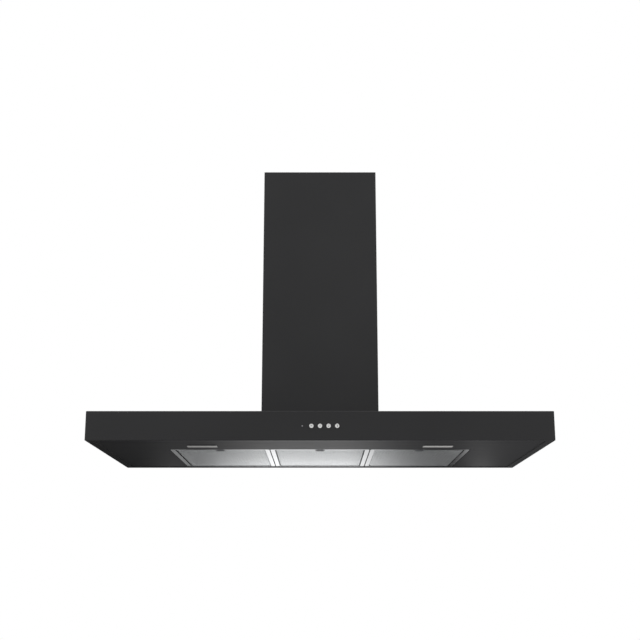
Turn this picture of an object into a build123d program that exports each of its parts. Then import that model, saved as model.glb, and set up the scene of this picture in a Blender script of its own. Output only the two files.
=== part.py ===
from build123d import *
import os
from math import acos, cos, degrees, radians, sin

# A wall chimney hood. Millimetres; x runs across, the wall is the plane y = 0 and the front
# faces -y. Heights are given above the canopy's lower edge, and the finished pieces are then
# lowered so that the origin lies between the two holes of the wall bracket.

# canopy: a folded box of painted steel with turned-in, hemmed lower lips
canopy_width = 900.0
canopy_depth = 480.0
canopy_height = 57.0
sheet = 0.8
fold_radius = 1.5
side_lip = 16.0
front_lip = 12.0
rear_lip = 10.0
hem = 2 * sheet

# grease filters: three in one opening of the underside panel
filter_count = 3
filter_width = 203.0
filter_gap = 2.0
filter_thickness = 9.0
filter_front_setback = 150.0
filter_rear_setback = 17.0
filter_side_clearance = 1.5
filter_front_clearance = 1.5
filter_rear_clearance = 2.0
filter_sheet = 0.8
filter_border = 9.0
filter_corner = 3.0
mesh_thickness = 3.0
mesh_strand = 3.0
mesh_columns = 4
mesh_rows = 11
filter_tab_width = 20.0
filter_tab_length = 9.5
filter_tab_spacing = 120.0
panel_rim = 10.0
panel_clearance = 1.5
seat_gap = 0.3

# filter latch: a sprung slider in a small open case behind the filter's front edge
latch_width = 19.0
latch_depth = 27.0
latch_wall = 1.0
latch_ledge = 1.4
latch_slider_length = 17.0
latch_slider_thickness = 2.0
latch_nose_width = 10.0
latch_nose_reach = 5.0
latch_travel = 6.0
latch_notch_width = 26.0
latch_nose_lead = 1.2
latch_rib_length = 8.0
latch_rib_end = 1.0
latch_scoop_radius = 4.0
latch_scoop_drop = 3.0

# lamps
lamp_spacing = 470.0
lamp_setback = 96.0
lamp_length = 59.0
lamp_breadth = 35.0
lamp_flange = 1.2
lamp_plug_inset = 3.0
lamp_wall = 1.5
lamp_housing_height = 13.0
lamp_housing_flange = 4.0
lamp_corner = 3.0
lamp_plug_play = 0.5
lamp_plug_reach = 2.0
lamp_room = 1.0
lamp_housing_corner = 2.0
led_board_thickness = 1.6
led_count = 3
led_side = 5.0
led_height = 0.8

# controls in the canopy's front face
control_height = 28.0
button_pitch = 16.5
button_first = -16.5
button_names = ["light", "speed_1", "speed_2", "speed_3"]
button_radius = 4.2
button_proud = 2.0
button_travel = 1.5
button_clearance = 0.2
button_stem_radius = 2.0
button_collar = 1.3
button_dish = 0.35
button_edge = 0.5
pilot_position = -34.0
pilot_radius = 1.5
pilot_proud = 0.6
pilot_dome = 0.7
pilot_collar = 1.0
control_wall = 2.0
control_half_height = 13.0
control_margin = 11.0
control_depth = 18.0
control_corner = 2.0
collar_thickness = 1.0
board_thickness = 1.6
switch_size = 6.0
switch_height = 3.5
plunger_radius = 1.7
plunger_height = 1.0

# chimney covers: the upper one slides inside the lower one
chimney_width = 250.0
chimney_depth = 252.0
chimney_top = 636.0
chimney_return = 14.0
cover_gap = 0.6
upper_drop = 5.0
cover_tab_width = 18.0
cover_tab_length = 7.0
vent_length = 60.0
vent_width = 5.0
vent_pitch = 13.0
vent_rows = 6
vent_top_margin = 95.0

# blower box and its wall bracket
box_gap = 6.4
box_rear_gap = 5.0
box_flange = 14.0
fixing_drop = 57.9
fixing_spacing = 160.0
fixing_radius = 4.0
bracket_sheet = 2.0
bracket_half_width = 100.0
bracket_half_height = 22.0
hook_width = 36.0
hook_spacing = 100.0
hook_rise = 12.0
hook_gap = 1.5
hook_slot_play = 2.0
hook_slot_height = 12.0
safety_spacing = 600.0
safety_height = 38.0
safety_radius = 3.0
upper_bracket_sheet = 1.5
upper_bracket_half_width = 104.0
upper_bracket_height = 35.0
upper_bracket_drop = 25.0
upper_bracket_step = 30.0
upper_bracket_flange = 32.0
upper_bracket_spacing = 160.0

# blower: a double-inlet wheel in a scroll whose quarter arcs grow by one step each
casing_wall = 2.0
casing_side_room = 17.0
casing_floor_room = 12.0
scroll_step = 9.0
cutoff_clearance = 11.0
wheel_half_width = 50.0
wheel_side_gap = 4.0
outlet_width = 100.0
outlet_neck = 10.0
tongue_radius = 4.0
inlet_overlap = 4.9
bell_radius = 7.0
bell_wall = 1.5
bell_knee_out = 0.3
bell_knee_up = 0.7
rim_thickness = 3.0
mouth_depth = 4.0
lug_radius = 6.0
lug_height = 5.0
lug_clearance = 1.0
blade_count = 28
blade_depth = 12.0
blade_thickness = 0.8
blade_lean = 9.0
blade_hollow = 2.4
blade_folds = 3
ring_width = 2.5
ring_depth = 7.0
web_thickness = 2.0
web_bite = 2.0
hub_fit = 0.02
hub_radius = 11.0
hub_front = 6.0
hub_back = 14.0
shaft_radius = 4.0
bearing_play = 0.05
bearing_radius = 11.0
bearing_width = 5.0
bearing_fit = 0.02
motor_room = 20.9
motor_front = 10.0
motor_band = 1.5
motor_band_share = 0.25
motor_shoulder = (5.0, 3.0)
motor_plate_inset = 4.0
motor_boss_radius = 16.0
motor_boss_length = 6.0
shaft_end = 2.0
arm_width = 14.0
arm_sheet = 2.0
arm_inset = 13.9
arm_angles = [30, 150, 270]
bush_radius = 6.0
bush_waist = 1.2
bell_arm_gap = 1.0
capacitor_radius = 17.5
capacitor_length = 60.0
capacitor_drop = 10.0
capacitor_edge = 2.0
capacitor_tag = (0.8, 6.0, 6.0)
capacitor_tag_offset = 5.0
strap_sheet = 1.0
strap_width = 14.0
strap_foot = 32.0
strap_fit = 0.02
terminal_size = (28.0, 70.0, 55.0)
terminal_wall = 2.0
terminal_lid_margin = 10.0
terminal_lid_rise = 1.5
gland_radius = 9.0
gland_bore = 4.0
gland_entry = 5.0
gland_entry_rise = 2.0
gland_height = 16.0
gland_neck_inset = 2.0
gland_neck_reach = 4.0
gland_nut_height = 5.0
gland_cap_height = 11.0
gland_cap_inset = 1.0
gland_dome_inset = 4.0

# outlet: a duct from the scroll's rectangular mouth to the round collar and its two flaps
transition_height = 40.0
duct_wall = 2.0
duct_flange = 8.0
duct_flange_thickness = 3.0
transition_facets = 6
collar_radius = 75.0
collar_wall = 2.0
collar_length = 40.0
collar_flange_radius = 86.0
collar_flange_thickness = 2.0
collar_stop_reach = 3.0
collar_stop_width = 10.0
collar_stop_thickness = 2.0
collar_stop_height = 8.0
collar_screw_radius = 80.5
collar_screw_angles = [45, 135, 225, 315]
flap_thickness = 1.2
flap_pin_radius = 2.0
flap_pin_play = 0.05
flap_knuckle_radius = 3.2
flap_knuckle_width = 10.0
flap_knuckle_places = [20.0, -45.0]
flap_knuckle_root = 2.0
flap_clearance = 1.5

# screws
screw_radius = 2.0
screw_hole_radius = 2.1
screw_head_radius = 4.0
screw_head_height = 2.4
screw_length = 8.0
screw_end = 1.0
flange_screw_inset = 45.0

# how far a cut runs past the face that it opens
past = 1.0

# worked out from the sizes above
half_width = canopy_width / 2
panel_low = hem
panel_high = hem + sheet
panel_half_width = half_width - sheet - panel_clearance
panel_front = -canopy_depth + sheet + panel_clearance
panel_rear = -sheet - panel_clearance
opening_front = -canopy_depth + filter_front_setback
opening_rear = -filter_rear_setback
filter_pitch = filter_width + filter_gap
opening_half_width = filter_pitch * filter_count / 2 - filter_gap / 2 + filter_side_clearance
filter_front = opening_front + filter_front_clearance
filter_rear = opening_rear - filter_rear_clearance
filter_low = panel_low
filter_high = filter_low + filter_thickness
filter_centres = [filter_pitch * (i - (filter_count - 1) / 2) for i in range(filter_count)]
filter_sides = ["left", "centre", "right"]
latch_low = panel_high
latch_front = filter_front + filter_sheet + seat_gap
lamp_y = -canopy_depth + lamp_setback
lamp_places = {"left": -lamp_spacing / 2, "right": lamp_spacing / 2}
fascia_back = -canopy_depth + sheet
button_places = [button_first + i * button_pitch for i in range(len(button_names))]
board_front = fascia_back + control_depth
upper_half_width = chimney_width / 2 - sheet - cover_gap
upper_front = -chimney_depth + sheet + cover_gap
upper_rear = -sheet - cover_gap
upper_bottom = canopy_height + seat_gap
upper_top = chimney_top - upper_drop
box_half_width = upper_half_width - sheet - box_gap
box_front = upper_front + sheet + box_gap
box_rear = -box_rear_gap
scroll_depth = box_rear - box_front - 2 * sheet - 2 * casing_side_room - 2 * casing_wall
scroll_first = (scroll_depth - 3 * scroll_step) / 2
scroll_second = scroll_first + scroll_step
scroll_third = scroll_second + scroll_step
scroll_left = -scroll_third - scroll_step / 2
scroll_bottom = -scroll_second - scroll_step / 2
tongue_y = scroll_left + outlet_width
wheel_radius = scroll_first - cutoff_clearance
blade_foot = wheel_radius - blade_depth
inlet_radius = blade_foot - inlet_overlap
motor_radius = blade_foot - motor_room
arm_radius = scroll_first - arm_inset
wheel_y = box_front + sheet + casing_side_room + casing_wall - scroll_left
wheel_z = canopy_height + sheet + casing_floor_room + casing_wall - scroll_bottom
casing_half_width = wheel_half_width + wheel_side_gap
casing_side = casing_half_width + casing_wall
mouth_z = scroll_first + outlet_neck
mouth_middle = (scroll_left + tongue_y) / 2
duct_bottom = wheel_z + mouth_z
box_top = duct_bottom + transition_height + sheet
fixing_height = box_top - fixing_drop
collar_y = (box_front + box_rear) / 2
flap_radius = collar_radius - collar_wall - flap_clearance
flap_pin_z = box_top + collar_stop_height + seat_gap + flap_thickness / 2
motor_back = casing_side + bell_radius - casing_wall + bell_arm_gap
gland_x = -box_half_width + sheet + terminal_size[0] / 2
gland_y = box_rear - sheet - seat_gap - terminal_size[1] / 2
gland_hole = gland_radius - gland_neck_inset + seat_gap
box_plate_low = box_top - sheet
box_air = box_half_width - sheet - box_flange
hook_places = [-hook_spacing / 2, hook_spacing / 2]
lug_offset = casing_wall + screw_head_radius + lug_clearance
lug_places = [
    (scroll_left - lug_offset, scroll_step),
    (0, scroll_bottom - lug_offset),
    (scroll_first + scroll_step / 2 + lug_offset, 0),
]
arm_places = [
    (arm_radius * cos(radians(angle)), arm_radius * sin(radians(angle))) for angle in arm_angles
]
collar_screw_places = [
    (
        collar_screw_radius * cos(radians(angle)),
        collar_y + collar_screw_radius * sin(radians(angle)),
    )
    for angle in collar_screw_angles
]
upper_bracket_z = upper_top - upper_bracket_drop - upper_bracket_height / 2
capacitor_x = box_half_width - sheet - strap_sheet - seat_gap - capacitor_radius
capacitor_y = box_rear - sheet - strap_sheet - seat_gap - capacitor_radius
capacitor_top = box_plate_low - capacitor_drop
cover_tab_rows = [-chimney_depth * 0.25, -chimney_depth * 0.75]
flange_screws = [
    (side * (box_half_width - sheet - box_flange / 2), y)
    for side in (-1, 1)
    for y in (box_front + flange_screw_inset, box_rear - flange_screw_inset)
]


def block(x, y, z):
    """A box between a low and a high limit along each axis."""
    size = (x[1] - x[0], y[1] - y[0], z[1] - z[0])
    middle = Pos((x[0] + x[1]) / 2, (y[0] + y[1]) / 2, (z[0] + z[1]) / 2)
    return middle * Box(*size)


def rod_x(x, y, z, radius):
    """A round bar along x, between two limits."""
    return Pos((x[0] + x[1]) / 2, y, z) * Rot(0, 90, 0) * Cylinder(radius, x[1] - x[0])


def rod_y(x, y, z, radius):
    """A round bar along y, between two limits."""
    return Pos(x, (y[0] + y[1]) / 2, z) * Rot(90, 0, 0) * Cylinder(radius, y[1] - y[0])


def rod_z(x, y, z, radius):
    """A round bar along z, between two limits."""
    return Pos(x, y, (z[0] + z[1]) / 2) * Cylinder(radius, z[1] - z[0])


def turned(points):
    """A turned piece about z from its (radius, height) outline."""
    return revolve(Plane.XZ * make_face(Polyline(*points, close=True)), Axis.Z)


def across_yz(x, face, thickness):
    """A flat outline in the blower's own plane, seen along x, thickened towards +x."""
    plane = Plane(origin=(x, wheel_y, wheel_z), x_dir=(0, 1, 0), z_dir=(1, 0, 0))
    return extrude(plane * face, thickness)


def along(x, y, z, shape):
    """A piece turned about z and set with that axis along x, on the blower's axis."""
    return Pos(x, y, z) * Rot(0, 90, 0) * shape


def screw(length=screw_length):
    """A hexagon-head screw that points down, with its head's seat at the origin."""
    head = extrude(RegularPolygon(screw_head_radius, 6), screw_head_height)
    return head + Pos(0, 0, -length / 2) * Cylinder(screw_radius, length)


# ---- canopy ----


def canopy_shell():
    """The folded box: a thin fillet on its outside, lips turned in below, and its holes."""
    outside = block(
        (-half_width, half_width), (-canopy_depth, 0), (0, canopy_height)
    )
    shell = fillet(outside.edges(), fold_radius)
    inside = block(
        (-half_width + sheet, half_width - sheet),
        (-canopy_depth + sheet, -sheet),
        (hem, canopy_height - sheet),
    )
    shell -= inside
    shell -= block(
        (-half_width + side_lip, half_width - side_lip),
        (-canopy_depth + front_lip, -rear_lip),
        (-past, hem + past),
    )
    top = (canopy_height - sheet - past, canopy_height + past)
    shell -= block(
        (-box_air, box_air),
        (box_front + sheet + box_flange, box_rear - sheet - box_flange),
        top,
    )
    for x, y in flange_screws:
        shell -= rod_z(x, y, top, screw_hole_radius)
    for side in (-1, 1):
        middle = side * (chimney_width - sheet) / 2
        for y in cover_tab_rows:
            shell -= Pos(middle, y, canopy_height) * Box(
                sheet + 2 * seat_gap, cover_tab_width + 2 * seat_gap, 3 * sheet
            )
        rear = (-sheet - past, past)
        shell -= rod_y(side * safety_spacing / 2, rear, safety_height, safety_radius)
    fascia = (-canopy_depth - past, fascia_back + past)
    for x in button_places:
        shell -= rod_y(x, fascia, control_height, button_radius + button_clearance)
    hole = pilot_radius + button_clearance / 2
    return shell - rod_y(pilot_position, fascia, control_height, hole)


def underside_panel():
    """The recessed panel: a shallow tray with its rim up, resting on the canopy's lips."""
    panel = block(
        (-panel_half_width, panel_half_width),
        (panel_front, panel_rear),
        (panel_low, panel_low + panel_rim),
    )
    panel -= block(
        (-panel_half_width + sheet, panel_half_width - sheet),
        (panel_front + sheet, panel_rear - sheet),
        (panel_high, panel_low + panel_rim + past),
    )
    # stiffening flanges turned up along the filter opening's sides and front
    flange = block(
        (-opening_half_width - sheet, opening_half_width + sheet),
        (opening_front - sheet, opening_rear),
        (panel_low, panel_low + panel_rim),
    )
    panel += flange
    panel -= block(
        (-opening_half_width, opening_half_width),
        (opening_front, opening_rear),
        (panel_low - past, panel_low + panel_rim + past),
    )
    panel -= block(
        (-opening_half_width - sheet - past, opening_half_width + sheet + past),
        (opening_rear, opening_rear + past),
        (panel_high, panel_low + panel_rim + past),
    )
    for x in filter_centres:
        panel -= block(
            (x - latch_notch_width / 2, x + latch_notch_width / 2),
            (opening_front - sheet - past, opening_front + past),
            (panel_high, panel_low + panel_rim + past),
        )
    inset = lamp_plug_inset - lamp_plug_play
    for x in lamp_places.values():
        panel -= Pos(x, lamp_y, panel_low) * Box(
            lamp_length - 2 * inset, lamp_breadth - 2 * inset, 4 * sheet
        )
    return panel


# ---- grease filters ----


def latch_slot(x):
    """The slot that the latch's nose passes through, in the frame and in the case."""
    half = latch_nose_width / 2 + seat_gap
    return block(
        (x - half, x + half),
        (filter_front - past, latch_front + latch_wall + seat_gap),
        (latch_low, latch_low + latch_slider_thickness + 2 * seat_gap),
    )


def filter_frame(x):
    """A rolled channel round the mesh, open inwards, with two tabs at the rear."""
    outline = Rectangle(filter_width, filter_rear - filter_front)
    outline = fillet(outline.vertices(), filter_corner)
    middle = (filter_front + filter_rear) / 2
    frame = extrude(Pos(x, middle, filter_low) * outline, filter_thickness)
    inner = offset(outline, -filter_sheet)
    hollow = Pos(x, middle, filter_low + filter_sheet) * inner
    frame -= extrude(hollow, filter_thickness - 2 * filter_sheet)
    window = Pos(x, middle, filter_low - past) * Rectangle(
        filter_width - 2 * filter_border, filter_rear - filter_front - 2 * filter_border
    )
    frame -= extrude(window, filter_thickness + 2 * past)
    for side in (-1, 1):
        tab_x = x + side * filter_tab_spacing / 2
        frame += block(
            (tab_x - filter_tab_width / 2, tab_x + filter_tab_width / 2),
            (filter_rear - filter_sheet, filter_rear + filter_tab_length),
            (panel_high + seat_gap, panel_high + seat_gap + sheet),
        )
    notch = latch_width / 2 + seat_gap
    frame -= block(
        (x - notch, x + notch),
        (filter_front + filter_sheet, filter_front + filter_border + past),
        (filter_low - past, filter_low + filter_sheet + seat_gap),
    )
    frame -= latch_slot(x)
    return frame


def filter_mesh(x):
    """A sheet of expanded metal: rows of long diamonds, each row shifted by half a cell."""
    play = filter_sheet + seat_gap
    wide = filter_width - 2 * play
    deep = filter_rear - filter_front - 2 * play
    cell_x = (filter_width - 2 * filter_border) / mesh_columns
    cell_y = (filter_rear - filter_front - 2 * filter_border) / (mesh_rows / 2 + 0.5)
    gap_x = (cell_x - mesh_strand) / 2
    gap_y = (cell_y - mesh_strand) / 2
    diamond = make_face(Polyline((gap_x, 0), (0, gap_y), (-gap_x, 0), (0, -gap_y), close=True))
    sheet_outline = Rectangle(wide, deep)
    sheet_outline = fillet(sheet_outline.vertices(), filter_corner)
    first = -(mesh_rows - 1) / 4 * cell_y
    holes = []
    for row in range(mesh_rows):
        count = mesh_columns - row % 2
        for column in range(count):
            across = (column - (count - 1) / 2) * cell_x
            holes.append(Pos(across, first + row * cell_y / 2) * diamond)
    sheet_outline -= holes
    middle = (filter_front + filter_rear) / 2
    low = filter_low + filter_sheet + seat_gap
    mesh = extrude(Pos(x, middle, low) * sheet_outline, mesh_thickness)
    notch = latch_width / 2 + seat_gap
    mesh -= block(
        (x - notch, x + notch),
        (filter_front - past, latch_front + latch_depth + seat_gap),
        (low - past, filter_high),
    )
    return mesh


def latch_case(x):
    """A cup that is open below, with a ledge along each side that carries the slider."""
    high = filter_high - filter_sheet - seat_gap
    case = block(
        (x - latch_width / 2, x + latch_width / 2),
        (latch_front, latch_front + latch_depth),
        (filter_low, high),
    )
    case -= block(
        (x - latch_width / 2 + latch_wall, x + latch_width / 2 - latch_wall),
        (latch_front + latch_wall, latch_front + latch_depth - latch_wall),
        (latch_low, high - latch_wall),
    )
    mouth = latch_width / 2 - latch_wall - latch_ledge
    case -= block(
        (x - mouth, x + mouth),
        (latch_front + latch_wall, latch_front + latch_depth - latch_wall),
        (filter_low - past, latch_low + past),
    )
    return case - latch_slot(x)


def latch_slider(x):
    """A flat slider with a nose over the panel's edge and a scooped rib for a fingertip."""
    low = latch_low + seat_gap
    high = low + latch_slider_thickness
    front = latch_front + latch_wall + seat_gap
    half = latch_width / 2 - latch_wall - seat_gap
    slider = block((x - half, x + half), (front, front + latch_slider_length), (low, high))
    nose = block(
        (x - latch_nose_width / 2, x + latch_nose_width / 2),
        (opening_front - latch_nose_reach, front + past),
        (low, high),
    )
    lead = nose.edges().filter_by(Axis.X).sort_by(Axis.Y)[:2].sort_by(Axis.Z)[0]
    slider += chamfer(lead, latch_nose_lead)
    rib_half = half - latch_ledge - 2 * seat_gap
    rib_end = front + latch_slider_length - latch_rib_end
    rib = block(
        (x - rib_half, x + rib_half),
        (rib_end - latch_rib_length, rib_end),
        (filter_low + seat_gap, low + seat_gap),
    )
    scoop = rod_x(
        (x - rib_half - past, x + rib_half + past),
        rib_end - latch_rib_length / 2 - latch_rib_end,
        filter_low - latch_scoop_drop,
        latch_scoop_radius,
    )
    return slider + (rib - scoop)


# ---- lamps ----


def lamp_lens(x):
    """A frosted cover: a rounded flange under the panel and a plug through the cut-out."""
    flange = RectangleRounded(lamp_length, lamp_breadth, lamp_corner)
    lens = extrude(Pos(x, lamp_y, panel_low - lamp_flange) * flange, lamp_flange)
    plug = Pos(x, lamp_y, panel_low) * Rectangle(
        lamp_length - 2 * lamp_plug_inset, lamp_breadth - 2 * lamp_plug_inset
    )
    return lens + extrude(plug, sheet + lamp_plug_reach)


def lamp_room_size():
    """The inside of a lamp housing across x and y: the lens's plug and a little room."""
    inset = lamp_plug_inset - lamp_room
    return lamp_length - 2 * inset, lamp_breadth - 2 * inset


def lamp_housing(x):
    """A tray over the cut-out, open below, with a flange on the panel."""
    inner_x, inner_y = lamp_room_size()
    tray = Pos(x, lamp_y, panel_high + lamp_housing_height / 2) * Box(
        inner_x + 2 * lamp_wall, inner_y + 2 * lamp_wall, lamp_housing_height
    )
    tray = fillet(tray.edges().filter_by(Axis.Z), lamp_housing_corner)
    tray += Pos(x, lamp_y, panel_high + sheet / 2) * Box(
        inner_x + 2 * lamp_wall + 2 * lamp_housing_flange,
        inner_y + 2 * lamp_wall + 2 * lamp_housing_flange,
        sheet,
    )
    tray -= Pos(x, lamp_y, panel_high + (lamp_housing_height - lamp_wall) / 2) * Box(
        inner_x, inner_y, lamp_housing_height - lamp_wall
    )
    return tray


def led_board(x):
    """A small board under the tray's roof with its light-emitting chips."""
    inner_x, inner_y = lamp_room_size()
    long = inner_x - 2 * seat_gap
    broad = inner_y - 2 * seat_gap
    top = panel_high + lamp_housing_height - lamp_wall
    board = Pos(x, lamp_y, top - led_board_thickness / 2) * Box(long, broad, led_board_thickness)
    chip_z = top - led_board_thickness - led_height / 2
    for i in range(led_count):
        chip_x = x + (i - (led_count - 1) / 2) * long / led_count
        board += Pos(chip_x, lamp_y, chip_z) * Box(led_side, led_side, led_height)
    return board


# ---- controls ----


def control_span():
    """The housing's left and right ends, around the pilot and the buttons."""
    low = min(pilot_position, button_places[0]) - control_margin
    high = button_places[-1] + control_margin
    return low, high


def control_housing():
    """A moulded box behind the fascia that guides the buttons, closed by the board."""
    low, high = control_span()
    bottom = control_height - control_half_height
    top = control_height + control_half_height
    box = block((low, high), (fascia_back, board_front), (bottom, top))
    box = fillet(box.edges().filter_by(Axis.Y), control_corner)
    box -= block(
        (low + control_wall, high - control_wall),
        (fascia_back + control_wall, board_front + past),
        (bottom + control_wall, top - control_wall),
    )
    wall = (fascia_back - past, fascia_back + control_wall + past)
    for x in button_places:
        box -= rod_y(x, wall, control_height, button_radius + button_clearance)
    hole = pilot_radius + button_clearance / 2
    return box - rod_y(pilot_position, wall, control_height, hole)


def control_board():
    """The board that closes the control housing."""
    low, high = control_span()
    return block(
        (low, high),
        (board_front, board_front + board_thickness),
        (control_height - control_half_height, control_height + control_half_height),
    )


def tact_switches():
    """One small switch on the board behind each button."""
    switches = []
    for x in button_places:
        body = block(
            (x - switch_size / 2, x + switch_size / 2),
            (board_front - switch_height, board_front),
            (control_height - switch_size / 2, control_height + switch_size / 2),
        )
        top = board_front - switch_height
        body += rod_y(x, (top - plunger_height, top + past), control_height, plunger_radius)
        switches.append(body)
    return switches


def button(x):
    """A turned metal cap with a dished face, a retaining collar and a stem."""
    tip = -canopy_depth - button_proud
    collar_front = fascia_back + control_wall + seat_gap
    stem_end = board_front - switch_height - plunger_height - button_travel - seat_gap
    outline = [
        (0, button_dish),
        (button_radius - button_edge, 0),
        (button_radius, button_edge),
        (button_radius, collar_front - tip),
        (button_radius + button_collar, collar_front - tip),
        (button_radius + button_collar, collar_front - tip + collar_thickness),
        (button_stem_radius, collar_front - tip + collar_thickness),
        (button_stem_radius, stem_end - tip),
        (0, stem_end - tip),
    ]
    return Pos(x, tip, control_height) * Rot(-90, 0, 0) * turned(outline)


def pilot_lens():
    """A light pipe: a domed tip in the fascia, a collar and a stem to the board."""
    tip = -canopy_depth - pilot_proud
    collar = fascia_back + control_wall
    outline = [
        (0, 0),
        (pilot_radius * 0.7, pilot_dome * 0.3),
        (pilot_radius, pilot_dome),
        (pilot_radius, collar - tip),
        (pilot_radius + pilot_collar, collar - tip),
        (pilot_radius + pilot_collar, collar - tip + collar_thickness),
        (pilot_radius, collar - tip + collar_thickness),
        (pilot_radius, board_front - seat_gap - tip),
        (0, board_front - seat_gap - tip),
    ]
    return Pos(pilot_position, tip, control_height) * Rot(-90, 0, 0) * turned(outline)


# ---- chimney covers ----


def cover(half, front, rear, bottom, top):
    """A folded cover: front and two sides, open at the wall, with turned-in returns."""
    body = block((-half, half), (front, rear), (bottom, top))
    body = fillet(body.edges().filter_by(Axis.Z), fold_radius)
    inside = block(
        (-half + sheet, half - sheet),
        (front + sheet, rear - sheet),
        (bottom - past, top + past),
    )
    body -= fillet(inside.edges().filter_by(Axis.Z), fold_radius - sheet)
    gap = half - chimney_return
    back = (rear - sheet - past, rear + past)
    return body - block((-gap, gap), back, (bottom - past, top + past))


def lower_chimney():
    """The fixed cover, with four tabs that drop into slots in the canopy."""
    body = cover(chimney_width / 2, -chimney_depth, 0, canopy_height, chimney_top)
    for side in (-1, 1):
        middle = side * (chimney_width - sheet) / 2
        for y in cover_tab_rows:
            body += Pos(middle, y, canopy_height) * Box(
                sheet, cover_tab_width, 2 * cover_tab_length
            )
    return body


def upper_chimney():
    """The sliding cover, with rows of vent slots for recirculated air near its top."""
    body = cover(upper_half_width, upper_front, upper_rear, upper_bottom, upper_top)
    middle = (upper_front + upper_rear) / 2
    first = upper_top - vent_top_margin
    slot = Rectangle(vent_length, vent_width)
    for row in range(vent_rows):
        for side in (-1, 1):
            plane = Plane(
                origin=(side * upper_half_width, middle, first - row * vent_pitch),
                x_dir=(0, 1, 0),
                z_dir=(1, 0, 0),
            )
            body -= extrude(plane * slot, 2 * sheet, both=True)
    for side in (-1, 1):
        wall = side * (upper_half_width - sheet / 2)
        body -= rod_x(
            (wall - past, wall + past),
            -upper_bracket_step - upper_bracket_flange / 2,
            upper_bracket_z,
            screw_hole_radius,
        )
    return body


def chimney_bracket():
    """A folded strip on the wall whose ends step forward and run along the cover's sides."""
    low = upper_bracket_z - upper_bracket_height / 2
    high = upper_bracket_z + upper_bracket_height / 2
    thick = upper_bracket_sheet
    inner = upper_bracket_half_width
    outer = upper_half_width - sheet - seat_gap
    step = -upper_bracket_step
    strip = block((-inner, inner), (-thick, 0), (low, high))
    for side in (-1, 1):
        riser = sorted((side * inner, side * (inner - thick)))
        strip += block(riser, (step, 0), (low, high))
        foot = sorted((side * (inner - thick), side * outer))
        strip += block(foot, (step, step + thick), (low, high))
        wing = sorted((side * (outer - thick), side * outer))
        strip += block(wing, (step - upper_bracket_flange, step + thick), (low, high))
        middle = side * (outer - thick / 2)
        strip -= rod_x(
            (middle - thick, middle + thick),
            step - upper_bracket_flange / 2,
            upper_bracket_z,
            screw_radius,
        )
        wall = (-thick - past, past)
        strip -= rod_y(side * upper_bracket_spacing / 2, wall, upper_bracket_z, safety_radius)
    return strip


# ---- blower box and its wall bracket ----


def blower_box():
    """The folded housing on the canopy: front and two sides, and a flange turned in below."""
    box = block(
        (-box_half_width, box_half_width), (box_front, box_rear), (canopy_height, box_plate_low)
    )
    folds = box.edges().filter_by(Axis.Z).sort_by(Axis.Y)[:2]
    box = fillet(folds, fold_radius)
    box -= block(
        (-box_half_width + sheet, box_half_width - sheet),
        (box_front + sheet, box_rear + past),
        (canopy_height + sheet, box_top + past),
    )
    flange = (canopy_height - past, canopy_height + sheet + past)
    box -= block(
        (-box_air, box_air), (box_front + sheet + box_flange, box_rear + past), flange
    )
    for x, y in flange_screws:
        box -= rod_z(x, y, flange, screw_hole_radius)
    return box


def box_back():
    """The rear wall of the blower box, between its sides, with slots for the two hooks."""
    side = box_half_width - sheet
    height = (canopy_height + sheet, box_plate_low)
    back = block((-side, side), (box_rear - sheet, box_rear), height)
    back += block(
        (-box_air, box_air),
        (box_rear - sheet - box_flange, box_rear),
        (canopy_height, canopy_height + sheet),
    )
    ledge = fixing_height + bracket_half_height
    half = hook_width / 2 + hook_slot_play
    for x in hook_places:
        back -= block(
            (x - half, x + half),
            (box_rear - sheet - past, box_rear + past),
            (ledge - hook_slot_height, ledge),
        )
    return back


def box_lid():
    """The top plate that carries the duct, the collar and the gland."""
    span = (box_plate_low, box_top)
    cut = (box_plate_low - past, box_top + past)
    lid = block((-box_half_width, box_half_width), (box_front, box_rear), span)
    corners = lid.edges().filter_by(Axis.Z).sort_by(Axis.Y)[:2]
    lid = fillet(corners, fold_radius)
    lid -= rod_z(0, collar_y, cut, collar_radius - collar_wall)
    for x, y in collar_screw_places:
        lid -= rod_z(x, y, cut, screw_hole_radius)
    return lid - rod_z(gland_x, gland_y, cut, gland_hole)


def wall_bracket():
    """A strip screwed to the wall, with two hooks that pass through the box's rear wall."""
    low = fixing_height - bracket_half_height
    high = fixing_height + bracket_half_height
    thick = bracket_sheet
    strip = block((-bracket_half_width, bracket_half_width), (-thick, 0), (low, high))
    front = box_rear - sheet - hook_gap
    for x in hook_places:
        span = (x - hook_width / 2, x + hook_width / 2)
        strip += block(span, (front - thick, 0), (high - thick, high))
        strip += block(span, (front - thick, front), (high - thick, high + hook_rise))
    for side in (-1, 1):
        wall = (-thick - past, past)
        strip -= rod_y(side * fixing_spacing / 2, wall, fixing_height, fixing_radius)
    return strip


def canopy_screws():
    """The screws through the box's flange into the canopy's top."""
    seat = canopy_height + sheet
    return [Pos(x, y, seat) * screw() for x, y in flange_screws]


# ---- blower ----


def scroll_face():
    """The inside of the scroll about the wheel's axis: quarter arcs, then the outlet."""
    half = scroll_step / 2
    top_angle = degrees(acos((tongue_y - half) / scroll_first))
    first = CenterArc((half, -half), scroll_first, 0, top_angle)
    second = CenterArc((-half, -half), scroll_second, -90, 90)
    third = CenterArc((-half, half), scroll_third, 180, 90)
    tongue = first @ 1
    front = Line((scroll_left, half), (scroll_left, mouth_z))
    lid = Line((scroll_left, mouth_z), (tongue_y, mouth_z))
    back = Line((tongue_y, mouth_z), (tongue.X, tongue.Y))
    face = make_face(first + second + third + front + lid + back)
    corner = face.vertices().sort_by_distance(tongue)[0]
    return fillet(corner, tongue_radius)


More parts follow.
